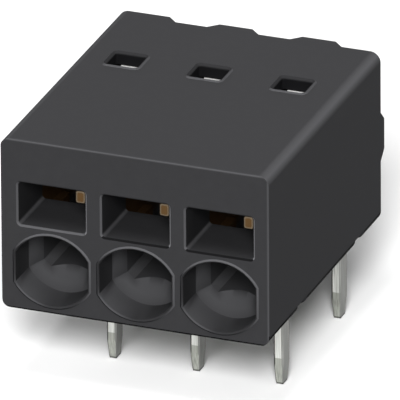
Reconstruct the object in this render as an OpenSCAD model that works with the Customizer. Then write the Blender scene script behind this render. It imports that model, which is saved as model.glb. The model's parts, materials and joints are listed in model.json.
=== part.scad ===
// Three-pole spring terminal block for a circuit board.
// The origin lies on the board, on the middle plane of the housing, midway between the two rows of pins.
// The wires enter from the front, which faces -Y. Lengths are in millimetres.

/* [Poles] */
// Distance between neighbouring poles
pole_pitch = 3.5; // [3.4:0.1:6]
// Distance from the axis of an outer pole to the side of the housing
side_margin = 2.1; // [2:0.05:4]

/* [Housing] */
// Depth from the front face to the flat of the rear wall
housing_d = 12.6; // [12.3:0.1:16]
// Height above the board
housing_h = 7.3; // [7.2:0.1:10]
// Radius of the four long edges
edge_r = 0.44; // [0.15:0.01:0.6]
// Radius of the edges round the front face
front_r = 0.1; // [0.05:0.01:0.15]
// Height of the lips round the funnels and the windows
lip_h = 0.06; // [0.03:0.01:0.1]
// Width of the flat on a lip
lip_land = 0.015; // [0.005:0.005:0.03]
// Thickness of the front wall, which holds the funnels and the slots
front_wall = 2.65; // [2.6:0.05:2.9]
// Thickness of the rear wall at its flat
rear_wall = 1; // [0.6:0.05:1.2]
// Thickness of the roof
roof_t = 0.5; // [0.4:0.05:0.6]
// Width of the chamber that holds a contact
chamber_w = 2.9; // [2.8:0.05:3]

/* [Rear ribs] */
// Height of the ribs and of their sloping flanks
rib_h = 0.4; // [0.2:0.05:0.6]
// Width of an upright rib at its top
rib_w = 1.38; // [0.8:0.02:1.8]
// Offset of an upright rib from its pole, to the left
rib_shift = 0.63; // [0.3:0.01:0.7]
// Height of the middle of the level rib
band_z = 3.65; // [2.5:0.05:4.5]
// Width of the level rib at its top
band_w = 1.3; // [0.8:0.05:2]

/* [Release slot] */
// Width of the slot, whose right side runs on into the chamber's
slot_w = 2.82; // [2.7:0.02:2.9]
// Height of the slot
slot_h = 1.82; // [1.6:0.02:2]
// Height of the slot's floor above the board
slot_z = 3.65; // [3.6:0.05:3.8]
// Radius in the corners of the slot
slot_r = 0.15; // [0.05:0.01:0.3]
// Bevel round the slot in the front face
slot_bevel = 0.07; // [0.03:0.01:0.09]

/* [Wire funnel] */
// Height of the wire's axis above the board
wire_z = 1.84; // [1.8:0.02:1.9]
// Offset of the funnel from its pole, to the right
mouth_x = 0.03; // [0:0.01:0.06]
// Width of the mouth between its flats
mouth_w = 3.02; // [2.8:0.02:3.1]
// Height of the mouth
mouth_h = 2.98; // [2.9:0.02:3.1]
// Radius of the arcs that close the mouth above and below
mouth_r = 1.76; // [1.7:0.01:2.2]
// Bevel inside the lip round the mouth
mouth_bevel = 0.05; // [0.02:0.01:0.08]
// Depth of the straight part of the mouth
mouth_d = 1.4; // [1.2:0.05:1.5]
// Half angle of the taper behind the mouth
taper_angle = 32; // [31:1:38]
// Width of the channel that leads the wire on
channel_w = 2.18; // [2:0.02:2.3]
// Depth of the channel's floor below the wire's axis
channel_drop = 0.79; // [0.78:0.01:0.85]
// Height of the channel's ceiling above the wire's axis
channel_rise = 1.15; // [0.9:0.05:1.3]
// Leg of the bevel along the lower corners of the channel
channel_bevel = 0.28; // [0.1:0.02:0.4]
// Distance from the front face to the end of the trough that carries the channel on into the chamber
trough_end = 4.85; // [4.4:0.05:5.2]

/* [Test window] */
// Offset of the window from its pole, to the left
window_x = 0.06; // [0:0.01:0.2]
// Width of the window in the roof
window_w = 1.3; // [1:0.05:1.6]
// Length of the window from front to rear
window_l = 1.2; // [0.8:0.05:1.4]
// Distance from the front face to the window
window_y = 7.87; // [7.5:0.01:8]
// Radius in the corners of the window
window_r = 0.12; // [0.05:0.01:0.3]
// Bevel inside the lip round the window
window_bevel = 0.09; // [0.03:0.01:0.12]

/* [Current bar] */
// Thickness of the copper sheet
bar_t = 0.4; // [0.3:0.02:0.45]
// Radius inside the sheet's bends
bar_bend = 0.2; // [0.1:0.02:0.3]
// Gap between the sheet and the housing that holds it
bar_gap = 0.03; // [0.02:0.01:0.05]
// Height of the arm whose cut end shows in the slot
arm_h = 0.52; // [0.4:0.02:0.6]
// Distance from the front face to the cut end of the arm
arm_inset = 0.1; // [0.05:0.05:0.5]
// Length of the tab under the window, across the pole
tab_reach = 1.55; // [1:0.05:1.8]
// Length of the tab from front to rear
tab_l = 2; // [1.6:0.1:2.4]
// Length of the contact rail under the wire, across the pole
rail_reach = 2.1; // [1.8:0.05:2.2]
// Gap between the rail and the trough before it
rail_gap = 0.1; // [0.05:0.05:0.4]
// Gap between the rail and the rear pin
rail_relief = 0.45; // [0.2:0.05:0.8]
// Height of the crest on the rail that bites into the wire
crest_h = 0.12; // [0.06:0.02:0.2]
// Width of the crest at its top
crest_w = 0.24; // [0.1:0.02:0.5]
// Fall of the plate's upper edge behind the tab
shoulder = 0.6; // [0.1:0.1:1.5]

/* [Solder pins] */
// Distance from the front face to the middle of the front pins
pin_y = 3.7; // [3.6:0.05:4]
// Distance between the two rows of pins
row_pitch = 6.5; // [6.2:0.1:6.8]
// Width of a pin, from front to rear
pin_w = 0.8; // [0.6:0.02:0.9]
// Length of a pin below the board face
pin_l = 3.25; // [2.4:0.05:5]
// Bevel along the edges of a pin
pin_bevel = 0.07; // [0.02:0.01:0.1]
// Length of the tapered tip
tip_l = 0.95; // [0.5:0.05:1.5]
// Width of the tip at its end
tip_w = 0.58; // [0.4:0.02:0.6]
// Thickness of the tip at its end
tip_t = 0.3; // [0.2:0.02:0.3]
// Radius of the tip's corners across its width
tip_r = 0.16; // [0.05:0.01:0.18]
// Radius of the tip's corners across its thickness
tip_edge_r = 0.08; // [0.03:0.01:0.1]
// Room beside a pin in the notch of the housing
notch_gap = 0.13; // [0.05:0.01:0.2]
// Height of the notch
notch_h = 0.4; // [0.2:0.05:0.5]

/* [Clamp spring] */
// Thickness of the spring strip
strip_t = 0.25; // [0.15:0.01:0.3]
// Width of the spring strip
strip_w = 1.8; // [1.5:0.05:2]
// Radius inside the spring's bend
spring_r = 0.5; // [0.4:0.02:0.6]
// Distance from the front face to the tip of the clamping leg and to the crest below it
clamp_y = 7.65; // [7:0.05:8]
// Gap between the spring and the pieces that it bears on
spring_gap = 0.03; // [0.02:0.01:0.05]
// Gap between the edge of the spring and the bends of the sheet
strip_gap = 0.03; // [0.02:0.01:0.1]
// Length of the holding leg behind the tab
leg_tail = 0.3; // [0.1:0.05:0.8]

/* [Hidden] */
$fn = 64;
pole_count = 3;
cut = 1; // how far a cutting shape runs past the face that it opens

housing_w = (pole_count - 1) * pole_pitch + 2 * side_margin;
pole_x = [for (i = [0 : pole_count - 1]) (i - (pole_count - 1) / 2) * pole_pitch];
pin_rows = [pin_y, pin_y + row_pitch];

chamber_top = housing_h - roof_t;
chamber_end = max(housing_d - rear_wall, pin_rows[1] + pin_w / 2 + bar_gap); // clears the contact in any case
slot_top = slot_z + slot_h;
channel_floor = wire_z - channel_drop;
channel_top = wire_z + channel_rise;
mouth_shift = mouth_r - mouth_h / 2;
taper_loss = mouth_h / 2 - channel_drop + channel_bevel;
taper_d = taper_loss / tan(taper_angle);

wall_reach = pole_pitch - chamber_w / 2 + bar_gap; // from a pole through the wall to the next chamber

plate_out = chamber_w / 2 - bar_gap;
plate_in = plate_out - bar_t;
arm_top = slot_top - bar_gap;
tab_top = chamber_top - bar_gap;
tab_y = window_y + window_l / 2 - tab_l / 2;
rail_top = channel_floor - crest_h;
plate_foot = rail_top + bar_bend;
pin_top = plate_foot + bar_t;
neck_top = tab_top - bar_t - bar_bend;
rail_y = [trough_end + rail_gap, pin_rows[1] - pin_w / 2 - rail_relief];

strip_right = plate_in - bar_bend - strip_gap;
holding_z = tab_top - bar_t - spring_gap;
bend_out = spring_r + strip_t;
bend_y = front_wall + spring_gap + bend_out;
bend_z = holding_z - bend_out;
// The clamping leg touches the outer circle of the bend and ends with its lower corner just above the crest
leg_drop = bend_z - channel_floor - spring_gap;
leg_run = clamp_y - bend_y;
leg_l = sqrt(leg_run * leg_run + leg_drop * leg_drop - bend_out * bend_out);
leg_angle = atan2(leg_drop, leg_run) - atan2(bend_out, leg_l);

// Moves a shape drawn with its depth counted from the front face into the frame of the part
module from_front() {
    translate([0, -pin_y - row_pitch / 2, 0])
        children();
}

// Draws a side view, with depth to the right and height up, and gives it a width along X
module across(w) {
    rotate([90, 0, 90])
        linear_extrude(w)
            children();
}

// Draws a front view, with X to the right and height up, and gives it a depth along Y
module along(d) {
    translate([0, d, 0])
        rotate([90, 0, 0])
            linear_extrude(d)
                children();
}

// Rectangle from its lower left corner, with round corners
module rounded(w, h, r) {
    translate([r, 0])
        square([w - 2 * r, h]);
    translate([0, r])
        square([w, h - 2 * r]);
    for (x = [r, w - r], y = [r, h - r])
        translate([x, y])
            circle(r);
}

// Section that widens at 45 degrees from this width, above z = 0, by as much as its height
module flare_section(w, h) {
    polygon([[-w / 2, 0], [w / 2, 0], [w / 2 + h, h], [-w / 2 - h, h]]);
}

// Rectangle with round corners that widens upwards at 45 degrees, about its middle
module flare(w, l, r, h) {
    translate([0, r - l / 2, 0])
        along(l - 2 * r)
            flare_section(w, h);
    translate([r - w / 2, 0, 0])
        across(w - 2 * r)
            flare_section(l, h);
    for (x = [r - w / 2, w / 2 - r], y = [r - l / 2, l / 2 - r])
        translate([x, y, 0])
            cylinder(h = h, r1 = r, r2 = r + h);
}

// Trapezoid rib of 45 degree flanks that stands on the line y = 0
module rib_section(from, to, h) {
    polygon([[from - h, -h], [from - h, 0], [from, h], [to, h], [to + h, 0], [to + h, -h]]);
}

// Plan of the housing with the upright ribs, the first of which runs out to the left side
module housing_plan() {
    translate([-housing_w / 2, 0])
        square([housing_w, housing_d]);
    for (i = [0 : pole_count - 1])
        translate([pole_x[i] - rib_shift, housing_d])
            rib_section(i == 0 ? -housing_w : -rib_w / 2, rib_w / 2, rib_h);
}

// Side view of the housing with the level rib
module housing_side() {
    square([housing_d, housing_h]);
    translate([housing_d, band_z])
        rotate(-90)
            rib_section(-band_w / 2, band_w / 2, rib_h);
}

module housing_block() {
    full_d = housing_d + rib_h;
    intersection() {
        translate([-housing_w / 2, 0, 0])
            along(full_d)
                rounded(housing_w, housing_h, edge_r);
        union() {
            linear_extrude(housing_h)
                housing_plan();
            translate([-housing_w / 2, 0, 0])
                across(housing_w)
                    housing_side();
        }
        translate([-housing_w / 2, 0, 0])
            linear_extrude(housing_h)
                rounded(housing_w, full_d + cut, front_r);
        translate([-housing_w / 2, 0, 0])
            across(housing_w)
                rounded(full_d + cut, housing_h, front_r);
    }
}

// Round bar along the wire with this outline of radius and depth
module turned_bar(outline) {
    rotate([-90, 0, 0])
        rotate_extrude()
            polygon(outline);
}

// Shape of two arcs and two flats, with an outline of radius and depth that holds for the arcs
module mouth_form(outline) {
    flat = mouth_w / 2 - mouth_r; // from the radius of an arc to the flat
    profile = concat([[0, outline[0][1]]], outline, [[0, outline[len(outline) - 1][1]]]);
    right = [for (p = outline) [p[0] + flat, p[1]]];
    left = [for (i = [len(right) - 1 : -1 : 0]) [-right[i][0], right[i][1]]];
    intersection() {
        translate([0, 0, wire_z + mouth_shift])
            turned_bar(profile);
        translate([0, 0, wire_z - mouth_shift])
            turned_bar(profile);
        linear_extrude(housing_h)
            polygon(concat(right, left));
    }
}

// Mouth with the taper behind it, which ends inside the channel
module wire_funnel() {
    bevel_end = mouth_bevel - lip_h;
    translate([mouth_x, 0, 0])
        mouth_form([[mouth_r + cut, bevel_end - cut], [mouth_r, bevel_end], [mouth_r, mouth_d],
                    [mouth_r - taper_loss, mouth_d + taper_d]]);
}

// Collar that stands out of the front face and becomes the lip of the mouth
module mouth_collar() {
    top = mouth_r + mouth_bevel + lip_land;
    translate([mouth_x, 0, 0])
        mouth_form([[top, -lip_h], [top + 2 * lip_h, lip_h]]);
}

// Length of the channel, with a bevel along its lower corners
module channel_run(from, top) {
    half = channel_w / 2;
    translate([0, from, 0])
        along(trough_end - from + cut)
            polygon([[-half, channel_floor + channel_bevel], [-half + channel_bevel, channel_floor],
                     [half - channel_bevel, channel_floor], [half, channel_floor + channel_bevel],
                     [half, top], [-half, top]]);
}

// Channel through the front wall, and on as a trough that is open to the chamber above it
module wire_channel() {
    channel_run(mouth_d, channel_top);
    channel_run(front_wall, slot_z);
}

module release_slot() {
    left = chamber_w / 2 - slot_w;
    translate([left, -cut, slot_z])
        along(front_wall + 2 * cut)
            rounded(slot_w, slot_h, slot_r);
    translate([left + slot_w / 2, slot_bevel, slot_z + slot_h / 2])
        rotate([90, 0, 0])
            flare(slot_w, slot_h, slot_r, slot_bevel + cut);
}

// Chamber open below behind the trough, with a slit beside the trough for the plate of the current bar
module contact_chamber() {
    slit_x = plate_in - bar_gap;
    slit_y = pin_rows[0] - pin_w / 2 - bar_gap;
    translate([-chamber_w / 2, front_wall, channel_top])
        cube([chamber_w, chamber_end - front_wall, chamber_top - channel_top]);
    translate([-chamber_w / 2, trough_end, -cut])
        cube([chamber_w, chamber_end - trough_end, chamber_top + cut]);
    translate([slit_x, slit_y, -cut])
        cube([chamber_w / 2 - slit_x, chamber_end - slit_y, chamber_top + cut]);
}

module test_window() {
    translate([-window_x, window_y + window_l / 2, 0]) {
        translate([-window_w / 2, -window_l / 2, chamber_top - cut])
            linear_extrude(roof_t + 2 * cut)
                rounded(window_w, window_l, window_r);
        translate([0, 0, housing_h + lip_h - window_bevel])
            flare(window_w, window_l, window_r, window_bevel + cut);
    }
}

// Collar that stands out of the roof and becomes the lip of the window
module window_collar() {
    grow = window_bevel + lip_land;
    translate([-window_x, window_y + window_l / 2, housing_h + lip_h])
        mirror([0, 0, 1])
            flare(window_w + 2 * grow, window_l + 2 * grow, window_r + grow, 2 * lip_h);
}

// Notches beside the pins, which run to this distance right of the pole
module pin_notches(reach) {
    from = plate_in - bar_gap;
    for (y = pin_rows)
        translate([from, y - pin_w / 2 - notch_gap, -cut])
            cube([reach - from, pin_w + 2 * notch_gap, notch_h + cut]);
}

module housing() {
    color([0.24, 0.24, 0.25])
        from_front()
            difference() {
                union() {
                    housing_block();
                    for (x = pole_x)
                        translate([x, 0, 0]) {
                            mouth_collar();
                            window_collar();
                        }
                }
                for (i = [0 : pole_count - 1])
                    translate([pole_x[i], 0, 0]) {
                        wire_funnel();
                        wire_channel();
                        release_slot();
                        contact_chamber();
                        test_window();
                        pin_notches(i < pole_count - 1 ? wall_reach : side_margin + cut);
                    }
            }
}

// Section of the sheet at a bend, about the bend's axis: plate above, leaf to the left
module bent_section(leaf) {
    out = bar_bend + bar_t;
    translate([bar_bend, 0])
        square(bar_t);
    translate([-leaf, -out])
        square([leaf, bar_t]);
    intersection() {
        difference() {
            circle(out);
            circle(bar_bend);
        }
        translate([0, -out])
            square(out);
    }
}

// Outline of the side plate with the neck of the tab
module plate_side() {
    front = pin_rows[0] - pin_w / 2;
    rear = pin_rows[1] + pin_w / 2;
    polygon([[front, plate_foot], [front, arm_top], [tab_y, arm_top], [tab_y, neck_top],
             [tab_y + tab_l, neck_top], [tab_y + tab_l, arm_top],
             [rear, arm_top - shoulder], [rear, plate_foot]]);
}

// Arm that runs forward in the upper corner of the slot and follows the slot's outline
module bar_arm() {
    translate([0, arm_inset, 0])
        along(pin_rows[0] - arm_inset)
            intersection() {
                translate([plate_in, arm_top - arm_h])
                    square([bar_t, arm_h]);
                translate([chamber_w / 2 - slot_w + bar_gap, slot_z + bar_gap])
                    rounded(slot_w - 2 * bar_gap, slot_h - 2 * bar_gap, slot_r - bar_gap);
            }
}

// Pin outline from the front or the side, from inside the plate to a tapered tip with round corners
module pin_outline(w, end_w, r) {
    straight = tip_l - pin_l;
    polygon([[-w / 2, pin_top], [-w / 2, straight], [-end_w / 2, r - pin_l],
             [end_w / 2, r - pin_l], [w / 2, straight], [w / 2, pin_top]]);
    translate([r - end_w / 2, -pin_l])
        square([end_w - 2 * r, 2 * r]);
    for (side = [-1, 1])
        translate([side * (end_w / 2 - r), r - pin_l])
            circle(r);
}

// Rectangle about the middle with bevelled corners
module bevelled(w, l, bevel) {
    x = w / 2;
    y = l / 2;
    polygon([[-x, bevel - y], [bevel - x, -y], [x - bevel, -y], [x, bevel - y],
             [x, y - bevel], [x - bevel, y], [bevel - x, y], [-x, y - bevel]]);
}

module solder_pin() {
    intersection() {
        translate([-bar_t / 2, 0, 0])
            across(bar_t)
                pin_outline(pin_w, tip_w, tip_r);
        translate([0, -pin_w / 2, 0])
            along(pin_w)
                pin_outline(bar_t, tip_t, tip_edge_r);
        union() {
            translate([0, 0, -pin_l])
                linear_extrude(pin_l + plate_foot)
                    bevelled(bar_t, pin_w, pin_bevel);
            linear_extrude(pin_top)
                square([bar_t, pin_w], center = true);
        }
    }
}

// Contact rail under the wire, with a crest below the tip of the spring
module contact_rail() {
    foot = crest_w / 2 + 2 * crest_h;
    translate([plate_in - bar_bend, rail_y[0], plate_foot])
        along(rail_y[1] - rail_y[0])
            bent_section(rail_reach - bar_bend);
    translate([plate_in - rail_reach, 0, rail_top])
        across(rail_reach - bar_bend)
            polygon([[clamp_y - foot, -crest_h], [clamp_y - crest_w / 2, crest_h],
                     [clamp_y + crest_w / 2, crest_h], [clamp_y + foot, -crest_h]]);
}

// Tab under the test window, which also holds the spring
module test_tab() {
    translate([plate_in - bar_bend, tab_y, neck_top])
        mirror([0, 0, 1])
            along(tab_l)
                bent_section(tab_reach - bar_bend);
}

module current_bar(i) {
    color([0.78, 0.78, 0.74])
        from_front()
            translate([pole_x[i - 1], 0, 0]) {
                translate([plate_in, 0, 0])
                    across(bar_t)
                        plate_side();
                bar_arm();
                for (y = pin_rows)
                    translate([plate_in + bar_t / 2, y, 0])
                        solder_pin();
                contact_rail();
                test_tab();
            }
}

// Quarter of the spring's bend that lies in the square from the bend's axis to this corner
module bend_quarter(corner) {
    intersection() {
        difference() {
            circle(bend_out);
            circle(spring_r);
        }
        translate([min(corner[0], 0), min(corner[1], 0)])
            square([abs(corner[0]), abs(corner[1])]);
    }
}

// Side view of the spring: holding leg, bend and clamping leg, all of one strip
module spring_side() {
    translate([bend_y, bend_z]) {
        translate([0, spring_r])
            square([tab_y + tab_l + leg_tail - bend_y, strip_t]);
        bend_quarter([-bend_out, bend_out]);
        rotate(-leg_angle) {
            bend_quarter([-bend_out, -bend_out]);
            translate([0, -bend_out])
                square([leg_l, strip_t]);
        }
    }
}

module clamp_spring(i) {
    color([0.7, 0.7, 0.72])
        from_front()
            translate([pole_x[i - 1] + strip_right - strip_w, 0, 0])
                across(strip_w)
                    spring_side();
}

housing();
current_bar(1);  // current_bar_1
current_bar(2);  // current_bar_2
current_bar(3);  // current_bar_3
clamp_spring(1);  // clamp_spring_1
clamp_spring(2);  // clamp_spring_2
clamp_spring(3);  // clamp_spring_3
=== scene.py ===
# Three-pole spring terminal block: black housing, tinned current bars, steel leaf springs, white table.
import json
import math

import bmesh
import bpy
import numpy as np
from mathutils import Matrix, Vector


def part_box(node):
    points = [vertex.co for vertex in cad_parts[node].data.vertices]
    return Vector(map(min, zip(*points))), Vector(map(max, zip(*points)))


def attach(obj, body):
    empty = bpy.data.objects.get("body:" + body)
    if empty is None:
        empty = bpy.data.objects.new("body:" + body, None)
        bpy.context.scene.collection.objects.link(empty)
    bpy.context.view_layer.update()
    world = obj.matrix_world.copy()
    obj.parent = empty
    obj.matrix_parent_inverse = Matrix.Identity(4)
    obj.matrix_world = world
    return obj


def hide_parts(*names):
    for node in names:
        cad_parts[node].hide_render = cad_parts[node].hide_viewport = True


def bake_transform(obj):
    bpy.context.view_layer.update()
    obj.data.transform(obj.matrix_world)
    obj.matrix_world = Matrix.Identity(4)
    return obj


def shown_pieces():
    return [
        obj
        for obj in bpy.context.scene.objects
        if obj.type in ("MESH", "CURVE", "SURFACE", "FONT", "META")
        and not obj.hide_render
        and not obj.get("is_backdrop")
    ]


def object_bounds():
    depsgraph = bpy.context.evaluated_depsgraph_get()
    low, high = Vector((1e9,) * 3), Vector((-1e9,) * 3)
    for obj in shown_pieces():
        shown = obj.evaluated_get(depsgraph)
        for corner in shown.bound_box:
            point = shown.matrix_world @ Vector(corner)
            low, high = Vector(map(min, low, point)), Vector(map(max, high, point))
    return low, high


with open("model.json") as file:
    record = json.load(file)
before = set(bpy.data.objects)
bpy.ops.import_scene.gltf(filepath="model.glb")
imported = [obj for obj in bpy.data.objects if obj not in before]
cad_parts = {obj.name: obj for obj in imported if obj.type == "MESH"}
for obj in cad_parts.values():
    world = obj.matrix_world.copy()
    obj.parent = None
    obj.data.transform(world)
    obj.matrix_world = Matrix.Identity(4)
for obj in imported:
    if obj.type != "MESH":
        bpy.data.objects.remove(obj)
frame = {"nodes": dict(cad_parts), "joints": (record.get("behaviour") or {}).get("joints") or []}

cadLow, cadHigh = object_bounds()
mm = 0.001
tiny = 0.001 * mm  # points nearer to each other than this count as one
scene = bpy.context.scene
scene.view_settings.view_transform = "Standard"

poleCount = sum(name.startswith("current_bar_") for name in frame["nodes"])
poleNumbers = range(1, poleCount + 1)
springX = np.array([joint["pos_m"][0] for joint in frame["joints"]])
print("frame loaded,", poleCount, "poles, size in mm", [round(side / mm, 2) for side in cadHigh - cadLow])


def directionTo(azimuth, elevation):
    # unit vector from the block: degrees round from its front to its right, and degrees above the level
    azimuth, elevation = math.radians(azimuth), math.radians(elevation)
    level = math.cos(elevation)
    return Vector((math.sin(azimuth) * level, -math.cos(azimuth) * level, math.sin(elevation)))


# camera

cameraSet = {
    "azimuth": 20.89,  # degrees round the block, to the right of its front
    "elevation": 24.62,
    "roll": -0.39,
    "distance": 700 * mm,
    "viewWidth": 15.716 * mm,  # width of the picture at that distance
    "look": (0, -0.65 * mm, 3.5 * mm),  # from this point of the block ...
    "middle": (0.327 * mm, -0.681 * mm),  # ... the picture's middle lies this far to the right and up
    "sensor": 36.0,
    "clipStart": 10 * mm,
}


def makeCamera(values):
    # the axes of the picture: level and upright as seen from there, then turned about the line of sight
    back = directionTo(values["azimuth"], values["elevation"])
    level = directionTo(values["azimuth"] + 90, 0)
    upright = back.cross(level)
    roll = math.radians(values["roll"])
    right = math.cos(roll) * level + math.sin(roll) * upright
    up = back.cross(right)
    camera = bpy.data.objects.new("camera", bpy.data.cameras.new("camera"))
    camera.data.sensor_width = values["sensor"]
    camera.data.lens = values["sensor"] * values["distance"] / values["viewWidth"]
    camera.data.clip_start = values["clipStart"]
    middle = Vector(values["look"]) + values["middle"][0] * right + values["middle"][1] * up
    turn = Matrix((right, up, back)).transposed().to_4x4()
    camera.matrix_world = Matrix.Translation(middle + back * values["distance"]) @ turn
    scene.collection.objects.link(camera)
    scene.camera = camera


makeCamera(cameraSet)
print("camera in place")


# shader helpers

grainSet = {
    "details": {"Grain": 4.0, "Patch": 3.0},  # finer copies added to each noise
    "roughness": 0.55,
    "spread": (0.3, 0.7),  # range of the noise that is stretched to 0 to 1
}

edgeHighlightSet = {
    "shadeReach": (0.35, 0.0),  # shares of facing the side at which the painted shade sets in and is full
}


def addNode(tree, kind, settings=None, values=None):
    # node with its settings, and its inputs set to plain values or linked to sockets
    node = tree.nodes.new(kind)
    for key, value in (settings or {}).items():
        setattr(node, key, value)
    for key, value in (values or {}).items():
        if isinstance(value, bpy.types.NodeSocket):
            tree.links.new(value, node.inputs[key])
        else:
            node.inputs[key].default_value = value
    return node


def chainMath(tree, operation, *values):
    node = addNode(tree, "ShaderNodeMath", {"operation": operation}, dict(enumerate(values)))
    return node.outputs["Value"]


def mapValue(tree, value, start, end, low=0.0, high=1.0, smooth=False):
    # low at start and high at end, even or eased between them
    node = addNode(tree, "ShaderNodeMapRange", {"interpolation_type": "SMOOTHSTEP" if smooth else "LINEAR"},
                   {"Value": value, "From Min": start, "From Max": end, "To Min": low, "To Max": high})
    return node.outputs["Result"]


def splitAxes(tree, vector):
    return addNode(tree, "ShaderNodeSeparateXYZ", values={"Vector": vector}).outputs


def mixColour(tree, factor, first, second, blend="MIX"):
    # mix of two colours, each a socket or plain numbers
    mix = addNode(tree, "ShaderNodeMix", {"data_type": "RGBA", "blend_type": blend}, {"Factor": factor})
    sockets = [socket for socket in mix.inputs if socket.type == "RGBA"]
    for socket, colour in zip(sockets, (first, second)):
        if isinstance(colour, tuple):
            socket.default_value = (*colour, 1)
        else:
            tree.links.new(colour, socket)
    return [socket for socket in mix.outputs if socket.type == "RGBA"][0]


def newGroup(name, inputs, outputs):
    # empty shader group with its sockets, given as name and kind
    group = bpy.data.node_groups.new(name, "ShaderNodeTree")
    for way, sockets in (("INPUT", inputs), ("OUTPUT", outputs)):
        for socket, kind in sockets.items():
            group.interface.new_socket(socket, in_out=way, socket_type="NodeSocket" + kind)
    return group, addNode(group, "NodeGroupInput").outputs, addNode(group, "NodeGroupOutput").inputs


def makeFineGrain(values):
    # two noises on one stretched grid: a fine one for bump, a coarse one for tone
    group, given, result = newGroup(
        "fineGrain",
        {"Vector": "Vector", "Stretch": "Vector", "Grain": "Float", "Patch": "Float"},
        {"Height": "Float", "Tone": "Float"})
    grid = addNode(group, "ShaderNodeVectorMath", {"operation": "MULTIPLY"},
                   {0: given["Vector"], 1: given["Stretch"]})
    for size, output in (("Grain", "Height"), ("Patch", "Tone")):
        noise = addNode(group, "ShaderNodeTexNoise", values={
            "Vector": grid.outputs["Vector"],
            "Scale": chainMath(group, "DIVIDE", 1.0, given[size]),
            "Detail": values["details"][size],
            "Roughness": values["roughness"]})
        group.links.new(mapValue(group, noise.outputs["Fac"], *values["spread"]), result[output])
    return group


def makeEdgeHighlightAndShade(values):
    # Mask, a painted highlight, is 0 where the surface faces along an axis of the block and 1 where it faces
    # midway
    # between two of them on the named side: root 2 times the sine of the angle to the nearest axis.
    # Shade, a painted shade, is 1 where the surface faces away from that side
    group, given, result = newGroup(
        "edgeSheen",
        {"Normal": "Vector", "Side": "Vector", "Start": "Float", "Full": "Float"},
        {"Mask": "Float", "Shade": "Float"})
    size = addNode(group, "ShaderNodeVectorMath", {"operation": "ABSOLUTE"}, {0: given["Normal"]})
    x, y, z = splitAxes(group, size.outputs["Vector"])
    largest = chainMath(group, "MAXIMUM", chainMath(group, "MAXIMUM", x, y), z)
    rest = chainMath(group, "SUBTRACT", 1.0, chainMath(group, "MULTIPLY", largest, largest))
    sine = chainMath(group, "SQRT", chainMath(group, "MAXIMUM", rest, 0.0))
    dot = addNode(group, "ShaderNodeVectorMath", {"operation": "DOT_PRODUCT"},
                  {0: given["Normal"], 1: given["Side"]})
    facing = dot.outputs["Value"]
    turned = mapValue(group, facing, given["Start"], given["Full"], smooth=True)
    raised = chainMath(group, "MULTIPLY", sine, math.sqrt(2))
    group.links.new(chainMath(group, "MULTIPLY", raised, turned), result["Mask"])
    group.links.new(mapValue(group, facing, *values["shadeReach"], smooth=True), result["Shade"])
    return group


fineGrain = makeFineGrain(grainSet)
edgeSheen = makeEdgeHighlightAndShade(edgeHighlightSet)
print("shader groups made")


def grainedMaterial(name, look):
    # colour and roughness follow the grain's tone, and its height lifts the surface a little
    material = bpy.data.materials.new(name)
    material.use_nodes = True
    tree = material.node_tree
    shader = tree.nodes["Principled BSDF"]
    shader.inputs["Metallic"].default_value = look["metallic"]
    shader.inputs["Specular IOR Level"].default_value = look["specular"]
    place = addNode(tree, "ShaderNodeTexCoord").outputs
    grain = addNode(tree, "ShaderNodeGroup", {"node_tree": fineGrain},
                    {"Vector": place["Object"], "Stretch": look["stretch"], "Grain": look["grain"],
                     "Patch": look["patch"]}).outputs
    colour = mixColour(tree, grain["Tone"], look["dark"], look["light"])
    bump = addNode(tree, "ShaderNodeBump",
                   values={"Strength": look["bump"], "Distance": look["relief"], "Height": grain["Height"]})
    tree.links.new(colour, shader.inputs["Base Color"])
    tree.links.new(mapValue(tree, grain["Tone"], 0.0, 1.0, *look["roughness"]), shader.inputs["Roughness"])
    tree.links.new(bump.outputs["Normal"], shader.inputs["Normal"])
    return material, tree, shader, colour, place


# copies of the solids, merged and with fine rims

def readArray(items, key, width, kind=float):
    # one row of numbers for each vertex, edge, loop or face of a mesh
    flat = np.empty(len(items) * width, kind)
    items.foreach_get(key, flat)
    return flat.reshape(-1, width)


def mergedCopy(nodeName, pieceName, flatAngle):
    mesh = frame["nodes"][nodeName].data.copy()
    mesh.attributes.remove(mesh.attributes["custom_normal"])
    mesh.materials.clear()
    work = bmesh.new()
    work.from_mesh(mesh)
    bmesh.ops.remove_doubles(work, verts=work.verts, dist=tiny)
    bmesh.ops.dissolve_limit(work, angle_limit=math.radians(flatAngle), verts=work.verts, edges=work.edges)
    work.to_mesh(mesh)
    work.free()
    mesh.name = pieceName
    piece = bpy.data.objects.new(pieceName, mesh)
    scene.collection.objects.link(piece)
    return piece


def edgeTable(mesh):
    # angle between the two faces of every edge, and whether it stands proud: then the cross product of
    # their normals runs along the edge, in the sense in which the first face goes round
    points = readArray(mesh.vertices, "co", 3)
    ends = readArray(mesh.edges, "vertices", 2, int)
    normals = readArray(mesh.polygons, "normal", 3)
    totals = readArray(mesh.polygons, "loop_total", 1, int).ravel()
    loopEdge = readArray(mesh.loops, "edge_index", 1, int).ravel()
    loopVertex = readArray(mesh.loops, "vertex_index", 1, int).ravel()
    loopFace = np.repeat(np.arange(len(totals)), totals)
    order = np.argsort(loopEdge, kind="stable")
    first = np.searchsorted(loopEdge[order], np.arange(len(ends)))
    faceA, faceB = loopFace[order[first]], loopFace[order[first + 1]]
    fromStart = loopVertex[order[first]] == ends[:, 0]
    along = (points[ends[:, 1]] - points[ends[:, 0]]) * np.where(fromStart, 1, -1)[:, None]
    cross = np.einsum("ij,ij->i", np.cross(normals[faceA], normals[faceB]), along)
    cosine = np.einsum("ij,ij->i", normals[faceA], normals[faceB])
    return np.degrees(np.arccos(np.clip(cosine, -1, 1))), cross > 0


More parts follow.
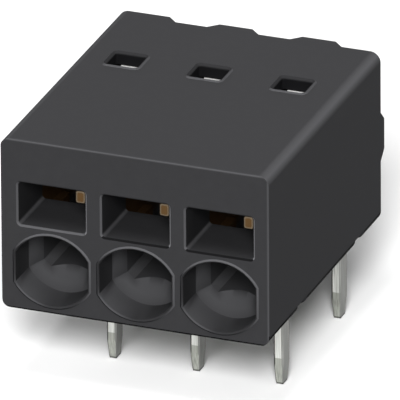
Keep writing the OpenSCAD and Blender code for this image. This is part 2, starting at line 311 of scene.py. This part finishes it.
def keepCrisp(piece, angles, values, chosen=False):
    # smooth shading, where every sharp corner stays crisp unless its edge is a chosen one
    mesh = piece.data
    sharp = mesh.attributes.get("sharp_edge") or mesh.attributes.new("sharp_edge", "BOOLEAN", "EDGE")
    sharp.data.foreach_set("value", (angles > values["crispAngle"]) & ~np.broadcast_to(chosen, angles.shape))
    mesh.polygons.foreach_set("use_smooth", np.ones(len(mesh.polygons), bool))
    normals = piece.modifiers.new("normals", "WEIGHTED_NORMAL")
    normals.keep_sharp = True


def softenRims(piece, values):
    # outer corners get a narrow round rim
    angles, proud = edgeTable(piece.data)
    chosen = (angles > values["rimAngle"]) & proud
    weights = piece.data.attributes.new("bevel_weight_edge", "FLOAT", "EDGE")
    weights.data.foreach_set("value", chosen.astype(np.float32))
    rim = piece.modifiers.new("rim", "BEVEL")
    rim.limit_method = "WEIGHT"
    rim.width = values["rimWidth"]
    rim.segments = values["rimSegments"]
    rim.use_clamp_overlap = False
    keepCrisp(piece, angles, values, chosen)


# housing

housingSet = {
    "crispAngle": 34,  # corners sharper than this many degrees stay crisp
    "flatAngle": 0.5,  # faces that meet more nearly flat than this are joined
    "frontDepth": 6.95 * mm,  # from the middle plane between the pins to the front face
    "roofHeight": 7.3 * mm,
    "longEdge": 0.44 * mm,  # radius of the four long edges
    "skin": 0.05 * mm,  # faces nearer the outline than this are outside ...
    "rearRibs": 0.6 * mm,  # ... and so are those nearer the rear than this
    "parting": 3.55 * mm,  # height between the mouths and the slots
    "mouthMiddle": (0.14 * mm, 1.84 * mm),  # from the middle of the spring, and above the board
    "mouthHalf": 1.65 * mm,  # with the rims of mouth and slot
    "mouthFoot": 0.1 * mm,  # no rim of a mouth lies lower
    "slotMiddle": 4.56 * mm,  # height of the middle of the slots
    "taperStart": 1.4 * mm,  # depth at which the funnel starts to narrow
    "taperTop": 3.65 * mm,
    "taperTilt": (0.3, 0.8),  # share by which its slanted faces turn to the front
    "windowMiddle": (0.05 * mm, 1.52 * mm),  # from the middle of the spring, and from the origin
    "windowHalf": (0.74 * mm, 0.69 * mm),  # with the bevel round it
    "windowDepth": 0.45 * mm,
    "lipWidth": 0.15 * mm,  # of the lip round that bevel
    "rimDepth": 0.08 * mm,  # bevels and lips lie this near the front
    "rimTilt": (0.3, 0.95),  # share by which they turn to the front, or up round the windows
    "rimFacing": 0.5,  # a bevel's share of turning left or up
    "sideFacing": 0.9,  # an upright wall's share of turning left or right
    "plastic": {
        "metallic": 0, "specular": 0.01, "roughness": (0.55, 0.65), "grain": 0.05 * mm, "patch": 0.4 * mm,
        "stretch": (1, 1, 1), "bump": 0.12, "relief": 0.003 * mm,
        "side": (1, -1, 1),  # rounds facing this side get a painted highlight,
        "reach": (0.2, 0.58),  # which sets in and is full at these shares of facing it
        "underReach": ((-0.01, -0.1), (-0.85, -0.98)),  # turn downwards where the painted shade line starts and ends
        "underHeight": 0.46 * mm,  # it lies below this
    },
    "bluer": 1.055,  # blue of the black against its red and green
    # in each look, sheen is the colour painted as a highlight on rounds that face the lit side
    "looks": {
        "outside": {"dark": 0.058, "light": 0.062, "sheen": 0.13, "under": (0.001, 0.001, 0.001)},
        # lips round the mouths: painted highlight on flanks facing the lit side, painted shade on the others
        "lip": {"dark": 0.057, "light": 0.061, "sheen": 0.135, "shade": (0.006, 0.006, 0.007)},
        "windowLip": {"dark": 0.057, "light": 0.061, "sheen": 0.11},
        # mouths and slots: a darker black inside them as painted shade, and the mouths' bevels facing right
        # and up get the painted highlight
        "mouth": {"dark": 0.042, "light": 0.045, "sheen": 0.1, "side": (1, 0, 1), "reach": (0.52, 0.72)},
        "slot": {"dark": 0.044, "light": 0.048, "sheen": 0.1},
        # right bevels of the slots: pale grey all over, a painted highlight
        "slotRim": {"dark": 0.26, "light": 0.27, "sheen": 0.27},
        # lower bevels of all slots but the first: near black, a painted shade
        "slotSill": {"dark": 0.012, "light": 0.014, "sheen": 0.013},
        # upright side walls inside the openings: darker black, a painted shade
        "slotSide": {"dark": 0.032, "light": 0.036, "sheen": 0.07},
        # slanted faces of the funnels: a lighter black, painted light where the lamp falls on them
        "taper": {"dark": 0.107, "light": 0.113, "sheen": 0.113},
        # painted reflection: behind the slots the walls take the warm tone of the copper beside them
        "chamber": {"dark": 0.062, "light": 0.066, "sheen": 0.1,
                    "byHeight": ((0.055, 0.030, 0.013), 2.1 * mm, 2.5 * mm)},
        # painted shade: the window bevels are darker, and below the roof the walls soon grow darker
        "window": {"dark": 0.040, "light": 0.044, "sheen": 0.042,
                   "byHeight": ((0.010, 0.010, 0.011), 7.3 * mm, 7.21 * mm)},
    },
}


def makePlastic(name, values):
    look = {**values["plastic"], **values["looks"][name]}
    for tone in ("dark", "light", "sheen"):
        look[tone] = (look[tone], look[tone], look[tone] * values["bluer"])
    material, tree, shader, colour, place = grainedMaterial("black_" + name, look)
    edge = addNode(tree, "ShaderNodeGroup", {"node_tree": edgeSheen},
                   {"Normal": place["Normal"], "Side": Vector(look["side"]).normalized(),
                    "Start": look["reach"][0], "Full": look["reach"][1]}).outputs
    # painted highlight on the rounds that face the lit side
    colour = mixColour(tree, edge["Mask"], colour, look["sheen"])
    height = splitAxes(tree, place["Object"])["Z"]
    if "under" in look:
        # painted shade: a dark line on the rounds of the lower edges, between the upright walls and the
        # underside
        facing = splitAxes(tree, place["Normal"])["Z"]
        start, end = (mapValue(tree, facing, *reach, smooth=True) for reach in look["underReach"])
        below = chainMath(tree, "SUBTRACT", start, end)
        low = chainMath(tree, "LESS_THAN", height, look["underHeight"])
        colour = mixColour(tree, chainMath(tree, "MULTIPLY", below, low), colour, look["under"])
    # painted shade on the lip flanks that face away from the lit side
    if "shade" in look:
        colour = mixColour(tree, edge["Shade"], colour, look["shade"])
    if "byHeight" in look:
        tone, first, last = look["byHeight"]
        colour = mixColour(tree, mapValue(tree, height, first, last), colour, tone)
    tree.links.new(colour, shader.inputs["Base Color"])
    return material


def between(value, limits):
    return (value > limits[0]) & (value < limits[1])


def lookOfFaces(mesh, values):
    # number of the look of each face, from its middle and the way that it faces
    middles = readArray(mesh.polygons, "center", 3)
    x, y, z = middles.T
    normalX, normalY, normalZ = readArray(mesh.polygons, "normal", 3).T
    low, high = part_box("housing")
    # how far it lies inside the block's outline, seen from the front: a rectangle with rounded corners
    radius = values["longEdge"]
    half = np.array([(high.x - low.x) / 2, values["roofHeight"] / 2])
    away = np.abs(middles[:, [0, 2]] - [0, half[1]]) - half + radius
    inset = radius - np.linalg.norm(np.maximum(away, 0), axis=1) - np.minimum(away.max(axis=1), 0)
    depth = y + values["frontDepth"]
    inside = (inset > values["skin"]) & (depth > values["rimDepth"]) & (y < high.y - values["rearRibs"])
    deep = inside & (depth > values["taperStart"])
    upper = z > values["parting"]
    slanted = between(-normalY, values["taperTilt"]) & (z < values["taperTop"])
    fromSpring = x[:, None] - springX[None, :]
    pole = np.abs(fromSpring).argmin(axis=1)
    across = np.take_along_axis(fromSpring, pole[:, None], axis=1)[:, 0]
    # bevels and lips round the mouths: a lip's flank faces away from the middle, a bevel towards it
    mouthX, mouthZ = across - values["mouthMiddle"][0], z - values["mouthMiddle"][1]
    outward = normalX * mouthX + normalZ * mouthZ
    frontRim = (np.abs(depth) < values["rimDepth"]) & between(-normalY, values["rimTilt"])
    frontRim &= np.abs(mouthX) < values["mouthHalf"]
    mouthRim = frontRim & between(z, (values["mouthFoot"], values["parting"]))
    slotRim = frontRim & upper
    # painted shade on the lower bevels of all slots but the first
    slotSill = slotRim & (z < values["slotMiddle"]) & (normalZ > values["rimFacing"]) & (pole > 0)
    # walls of the windows, and the outer flanks of the lips round them
    windowX, windowY = across - values["windowMiddle"][0], y - values["windowMiddle"][1]
    halfX, halfY = values["windowHalf"]
    beyond = np.maximum(np.abs(windowX) - halfX, np.abs(windowY) - halfY)
    belowRoof = values["roofHeight"] - z
    window = (beyond < 0) & (belowRoof < values["windowDepth"]) & (normalZ < values["rimTilt"][1])
    windowRim = (beyond < values["lipWidth"]) & (belowRoof < tiny)
    windowRim &= between(normalZ, values["rimTilt"]) & (normalX * windowX + normalY * windowY > 0)
    choices = {  # a later one wins, and what none takes is outside
        "mouth": inside | mouthRim & (outward < 0),
        "slot": inside & upper,
        # upright side walls inside take a painted shade
        "slotSide": inside & (np.abs(normalX) > values["sideFacing"]),
        # the right bevels of the slots take a painted highlight
        "slotRim": slotRim & (normalX < -values["rimFacing"]),
        "slotSill": slotSill,
        "chamber": deep,
        # slanted faces of the funnels take painted light
        "taper": deep & slanted,
        "window": window,
        "lip": mouthRim & (outward > 0),
        "windowLip": windowRim,
    }
    names = list(values["looks"])
    look = np.full(len(middles), names.index("outside"), np.int32)
    for name, chosen in choices.items():
        look[chosen] = names.index(name)
    return look


def makeHousing(values):
    piece = mergedCopy("housing", "housing_shell", values["flatAngle"])
    for name in values["looks"]:
        piece.data.materials.append(makePlastic(name, values))
    piece.data.polygons.foreach_set("material_index", lookOfFaces(piece.data, values))
    keepCrisp(piece, edgeTable(piece.data)[0], values)
    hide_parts("housing")
    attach(piece, "housing")
    print("housing:", len(piece.data.polygons), "faces")


makeHousing(housingSet)


# current bars

barSet = {
    "rimWidth": 0.05 * mm,
    "rimSegments": 3,
    "rimAngle": 60,  # corners sharper than this many degrees get a rim
    "crispAngle": 34,
    "flatAngle": 0.5,
    "tin": {
        "metallic": 1, "specular": 0.5, "dark": (0.56, 0.57, 0.54), "light": (0.99, 1.0, 0.96),
        "roughness": (0.62, 0.72), "grain": 0.03 * mm, "patch": 0.05 * mm, "stretch": (1, 1, 0.04),
        "bump": 0.25, "relief": 0.003 * mm,
    },
    # painted highlight and shade: how bright the tin is by its share of facing +X, rolled faces at the ends,
    # stamped edges between
    "tinByFacing": ((-1.0, 0.26), (-0.75, 0.07), (-0.45, 0.12), (-0.1, 0.91), (0.3, 0.64), (0.75, 0.37),
                    (1.0, 0.30)),
    "dullBelow": -2.04 * mm,  # below this a pin is duller ...
    "dull": (0.60, 0.61, 0.58),
    "dullFade": 0.95,  # this much less on the faces to the right
    "darkBelow": -3.13 * mm,  # ... and its tip is dark
    "tipDark": (0.4, 0.4, 0.4),
    "copper": (0.113, 0.065, 0.027),  # bare cut end of the arm
    "smear": (0.16, 0.122, 0.081),  # tin drawn over the copper round the cut
    "smearWidth": 0.07 * mm,
    "cornerDark": (0.03, 0.022, 0.015),  # painted shade where the cut's corners are rolled over
    "cornerRadius": 0.14 * mm,
    "cutDepth": 0.06 * mm,
    "tabHeight": 6.0 * mm,  # above this the tin is matt and pale, a painted glint where the tab shows through the windows
    "tabColour": (0.95, 0.95, 0.94),
    "tabMetal": 0.0,
}


def cutDistance(tree, x, z, pitch, middle, half, radius):
    # distance from the rounded outline of the cut end, below 0 inside it, repeated from pole to pole:
    # length of the part of |point - middle| beyond the half sizes less the radius, less the radius
    wrapped = chainMath(tree, "WRAP", x, middle[0] + pitch / 2, middle[0] - pitch / 2)
    squares = []
    for source, centre, reach in ((wrapped, middle[0], half[0]), (z, middle[2], half[2])):
        away = chainMath(tree, "ABSOLUTE", chainMath(tree, "SUBTRACT", source, centre))
        beyond = chainMath(tree, "MAXIMUM", chainMath(tree, "SUBTRACT", away, reach - radius), 0.0)
        squares.append(chainMath(tree, "MULTIPLY", beyond, beyond))
    length = chainMath(tree, "SQRT", chainMath(tree, "ADD", *squares))
    return chainMath(tree, "SUBTRACT", length, radius)


def paintedTinLight(tree, facing, steps):
    # painted highlight and shade: ramp over the share of facing +X, from -1 to 1
    ramp = addNode(tree, "ShaderNodeValToRGB", values={"Fac": mapValue(tree, facing, -1.0, 1.0)})
    stops = ramp.color_ramp.elements
    while len(stops) < len(steps):
        stops.new(0.5)  # moved to its place below
    for stop, (turn, bright) in zip(stops, steps):
        stop.position = (turn + 1) / 2
        stop.color = (bright, bright, bright, 1)
    return ramp.outputs["Color"]


def makeBarMaterial(values, pitch, cutMiddle, cutHalf):
    material, tree, shader, colour, place = grainedMaterial("tinned_sheet", values["tin"])
    x, y, z = splitAxes(tree, place["Object"])
    facing = splitAxes(tree, place["Normal"])["X"]
    # the tin painted lighter or darker by the way it faces
    colour = mixColour(tree, 1.0, colour, paintedTinLight(tree, facing, values["tinByFacing"]), "MULTIPLY")
    # duller lower ends and dark tips of the pins
    toRight = chainMath(tree, "MAXIMUM", facing, 0.0)
    fade = chainMath(tree, "SUBTRACT", 1.0, chainMath(tree, "MULTIPLY", toRight, values["dullFade"]))
    lowerPin = chainMath(tree, "LESS_THAN", z, values["dullBelow"])
    colour = mixColour(tree, chainMath(tree, "MULTIPLY", lowerPin, fade), colour, values["dull"], "MULTIPLY")
    tip = chainMath(tree, "LESS_THAN", z, values["darkBelow"])
    colour = mixColour(tree, tip, colour, values["tipDark"], "MULTIPLY")
    # tab under the window, painted pale as a glint
    tab = chainMath(tree, "GREATER_THAN", z, values["tabHeight"])
    colour = mixColour(tree, tab, colour, values["tabColour"])
    # cut end of the arm
    distance = cutDistance(tree, x, z, pitch, cutMiddle, cutHalf, values["cornerRadius"])
    bare = chainMath(tree, "LESS_THAN", distance, -values["smearWidth"])
    corner = chainMath(tree, "GREATER_THAN", distance, 0.0)
    cut = mixColour(tree, bare, values["smear"], values["copper"])
    cut = mixColour(tree, corner, cut, values["cornerDark"])
    atCut = chainMath(tree, "LESS_THAN", y, cutMiddle[1] + values["cutDepth"])
    colour = mixColour(tree, atCut, colour, cut)
    tree.links.new(colour, shader.inputs["Base Color"])
    metal = mapValue(tree, tab, 0.0, 1.0, values["tin"]["metallic"], values["tabMetal"])
    tree.links.new(metal, shader.inputs["Metallic"])
    return material


def makeBars(values):
    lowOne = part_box("current_bar_1")[0]
    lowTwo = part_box("current_bar_2")[0]
    pitch = lowTwo.x - lowOne.x
    points = readArray(frame["nodes"]["current_bar_1"].data.vertices, "co", 3)
    cut = points[points[:, 1] < lowOne.y + tiny]
    sheet = makeBarMaterial(values, pitch, (cut.min(0) + cut.max(0)) / 2, (cut.max(0) - cut.min(0)) / 2)
    for number in poleNumbers:
        node = "current_bar_%d" % number
        piece = mergedCopy(node, "bar_sheet_%d" % number, values["flatAngle"])
        piece.data.materials.append(sheet)
        softenRims(piece, values)
        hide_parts(node)
        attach(piece, "housing")
    print("current bars:", poleCount, "with pitch", round(pitch / mm, 3), "mm")


makeBars(barSet)


# clamp springs

springSet = {
    "stripThickness": 0.25 * mm,
    "edgeRadius": 0.05 * mm,
    "bendSteps": 40,
    "legSteps": 24,
    "cornerSteps": 4,
    "bendStart": 0.46 * mm,  # the strip bends from this far above its joint ...
    "bendEnd": 0.54 * mm,  # ... to this far below it
    "steel": {
        "metallic": 1, "specular": 0.5, "dark": (0.56, 0.54, 0.51), "light": (0.66, 0.64, 0.61),
        "roughness": (0.25, 0.4), "grain": 0.02 * mm, "patch": 0.12 * mm, "stretch": (1, 0.08, 0.08),
        "bump": 0.2, "relief": 0.002 * mm,
    },
}


def stripPath(low, high, axis, tip, values):
    # middle line of the strip, and the angle at which its outer face turns: a straight holding leg, an arc
    # about the axis, and a straight leg on the tangent from the bend's outer circle to the tip. Its slope is
    # the tip's angle below the axis less the angle that the circle's radius takes up over the tangent
    outer = axis[0] - low.y
    middle = outer - values["stripThickness"] / 2
    run, drop = tip[0] - axis[0], axis[1] - tip[1]
    leg = math.sqrt(run * run + drop * drop - outer * outer)
    slope = math.atan2(drop, run) - math.atan2(outer, leg)
    holding = np.linspace(high.y, axis[0], values["legSteps"], endpoint=False)
    arc = np.linspace(math.pi / 2, 1.5 * math.pi - slope, values["bendSteps"])
    down = np.linspace(0, leg, values["legSteps"])[1:]
    legY = axis[0] + middle * math.cos(arc[-1]) + down * math.cos(slope)
    legZ = axis[1] + middle * math.sin(arc[-1]) - down * math.sin(slope)
    pathY = np.concatenate([holding, axis[0] + middle * np.cos(arc), legY])
    pathZ = np.concatenate([np.full(len(holding), axis[1] + middle), axis[1] + middle * np.sin(arc), legZ])
    facing = np.concatenate([np.full(len(holding), math.pi / 2), arc, np.full(len(down), arc[-1])])
    return pathY, pathZ, facing


def stripProfile(width, values):
    # rectangle with quarter rounds, as offsets across the strip and out from the bend:
    # the corners of the rectangle less the radius, plus the radius times cosine and sine of the turn
    radius = values["edgeRadius"]
    quarter = np.linspace(0, math.pi / 2, values["cornerSteps"])
    turns = (quarter[None, :] + np.arange(4)[:, None] * math.pi / 2).ravel()
    signX = np.repeat([1, -1, -1, 1], len(quarter))
    signN = np.repeat([1, 1, -1, -1], len(quarter))
    acrossX = signX * (width / 2 - radius) + radius * np.cos(turns)
    outward = signN * (values["stripThickness"] / 2 - radius) + radius * np.sin(turns)
    return acrossX, outward


def stripMesh(name, low, high, axis, tip, values):
    # the profile carried along the path, as a grid of path points by profile points: X is the middle plus
    # the offset across, Y and Z are the path plus the offset out times cosine and sine of the facing
    pathY, pathZ, facing = stripPath(low, high, axis, tip, values)
    acrossX, outward = stripProfile(high.x - low.x, values)
    rows, columns = len(pathY), len(acrossX)
    points = np.empty((rows, columns, 3))
    points[:, :, 0] = (low.x + high.x) / 2 + acrossX[None, :]
    points[:, :, 1] = pathY[:, None] + outward[None, :] * np.cos(facing)[:, None]
    points[:, :, 2] = pathZ[:, None] + outward[None, :] * np.sin(facing)[:, None]
    row, column = np.meshgrid(np.arange(rows - 1), np.arange(columns), indexing="ij")
    ahead = (column + 1) % columns
    quads = np.stack([row * columns + column, row * columns + ahead,
                      (row + 1) * columns + ahead, (row + 1) * columns + column], axis=-1).reshape(-1, 4)
    ends = [list(range(columns))[::-1], list(range((rows - 1) * columns, rows * columns))]
    mesh = bpy.data.meshes.new(name)
    mesh.from_pydata(points.reshape(-1, 3).tolist(), [], quads.tolist() + ends)
    mesh.polygons.foreach_set("use_smooth", np.arange(len(mesh.polygons)) < len(quads))
    mesh.update()
    work = bmesh.new()
    work.from_mesh(mesh)
    bmesh.ops.recalc_face_normals(work, faces=work.faces)
    work.to_mesh(mesh)
    work.free()
    return mesh


def makeSprings(values):
    steel = grainedMaterial("spring_strip", values["steel"])[0]
    joints = {joint["child"]: joint for joint in frame["joints"]}
    for number in poleNumbers:
        node = "clamp_spring_%d" % number
        low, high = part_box(node)
        x, y, z = joints[node]["pos_m"]
        points = readArray(frame["nodes"][node].data.vertices, "co", 3)
        tip = points[points[:, 2].argmin(), 1:]
        mesh = stripMesh("spring_leaf_%d" % number, low, high, (y, z), tip, values)
        mesh.materials.append(steel)
        piece = bpy.data.objects.new(mesh.name, mesh)
        scene.collection.objects.link(piece)
        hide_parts(node)
        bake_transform(piece)
    print("clamp springs:", poleCount)


makeSprings(springSet)


# table and light

stageSet = {
    "tableSize": 400 * mm,
    "tableColour": (0.95, 0.95, 0.95),
    "tableBounce": (0.18, 0.18, 0.18),  # what it throws back on the block
    "tableLift": 0.004,  # light of its own where it is seen, so that the bare table is just white
    "skyLight": 0.15,
    "lamps": {
        "key": {"azimuth": 18.5, "elevation": 30, "strength": 2.05, "spread": 20, "lights": "block"},
        "top": {"azimuth": 0, "elevation": 80, "strength": 1.42, "spread": 40, "lights": "block"},
        "rear": {"azimuth": 215, "elevation": 6, "strength": 1.1, "spread": 20, "lights": "block",
                 "gloss": False},  # glancing, so with gloss it would veil the top
        "tableNear": {"azimuth": 18, "elevation": 35, "strength": 4.2, "spread": 17, "lights": "table"},
        "tableLeft": {"azimuth": -60, "elevation": 45, "strength": 0.35, "spread": 30, "lights": "table"},
        "tableLow": {"azimuth": 0, "elevation": 25, "strength": 0.6, "spread": 15, "lights": "table"},
        "tableTop": {"azimuth": 0, "elevation": 75, "strength": 0.8, "spread": 15, "lights": "table"},
    },
}


def rayMask(tree):
    # 1 for rays that show the background: straight from the camera, mirrored or through glass
    path = addNode(tree, "ShaderNodeLightPath").outputs
    either = chainMath(tree, "MAXIMUM", path["Is Camera Ray"], path["Is Glossy Ray"])
    return chainMath(tree, "MAXIMUM", either, path["Is Transmission Ray"])


def mixShaders(tree, factor, first, second):
    mix = addNode(tree, "ShaderNodeMixShader", values={"Fac": factor, 1: first, 2: second})
    return mix.outputs["Shader"]


def makeTableMaterial(values):
    # matt white that throws less light back, with a little light of its own, and clear from below
    material = bpy.data.materials.new("table_white")
    material.use_nodes = True
    tree = material.node_tree
    tree.nodes.remove(tree.nodes["Principled BSDF"])
    matt, dim = (addNode(tree, "ShaderNodeBsdfDiffuse", values={"Color": (*values[key], 1)}).outputs["BSDF"]
                 for key in ("tableColour", "tableBounce"))
    bounced = addNode(tree, "ShaderNodeLightPath").outputs["Is Diffuse Ray"]
    strength = chainMath(tree, "MULTIPLY", rayMask(tree), values["tableLift"])
    lift = addNode(tree, "ShaderNodeEmission", values={"Strength": strength})
    both = addNode(tree, "ShaderNodeAddShader",
                   values={0: mixShaders(tree, bounced, matt, dim), 1: lift.outputs["Emission"]})
    clear = addNode(tree, "ShaderNodeBsdfTransparent")
    below = addNode(tree, "ShaderNodeNewGeometry").outputs["Backfacing"]
    seen = mixShaders(tree, below, both.outputs["Shader"], clear.outputs["BSDF"])
    tree.links.new(seen, tree.nodes["Material Output"].inputs["Surface"])
    return material


def makeTable(values):
    half = values["tableSize"] / 2
    corners = [(half * x, half * y, cadLow.z) for x, y in ((-1, -1), (1, -1), (1, 1), (-1, 1))]
    mesh = bpy.data.meshes.new("table")
    mesh.from_pydata(corners, [], [(0, 1, 2, 3)])
    mesh.materials.append(makeTableMaterial(values))
    table = bpy.data.objects.new("table", mesh)
    scene.collection.objects.link(table)
    table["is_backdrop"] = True
    return table


def makeLight(values, table):
    world = bpy.data.worlds.new("studio")
    world.use_nodes = True
    tree = world.node_tree
    backdrop = tree.nodes["Background"]
    backdrop.inputs["Color"].default_value = (1, 1, 1, 1)
    strength = mapValue(tree, rayMask(tree), 0.0, 1.0, values["skyLight"], 1.0)
    tree.links.new(strength, backdrop.inputs["Strength"])
    scene.world = world
    # each lamp lights only the block or only the table
    lit = {key: bpy.data.collections.new("lit_" + key) for key in ("block", "table")}
    lit["table"].objects.link(table)
    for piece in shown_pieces():
        lit["block"].objects.link(piece)
    for name, lamp in values["lamps"].items():
        sun = bpy.data.objects.new(name, bpy.data.lights.new(name, "SUN"))
        sun.data.energy = lamp["strength"]
        sun.data.angle = math.radians(lamp["spread"])
        towards = directionTo(lamp["azimuth"], lamp["elevation"])
        sun.matrix_world = towards.to_track_quat("Z", "Y").to_matrix().to_4x4()
        sun.visible_glossy = lamp.get("gloss", True)
        scene.collection.objects.link(sun)
        sun.light_linking.receiver_collection = lit[lamp["lights"]]


makeLight(stageSet, makeTable(stageSet))
print("table and light set")


# bring the scene up to date

bpy.context.view_layer.update()
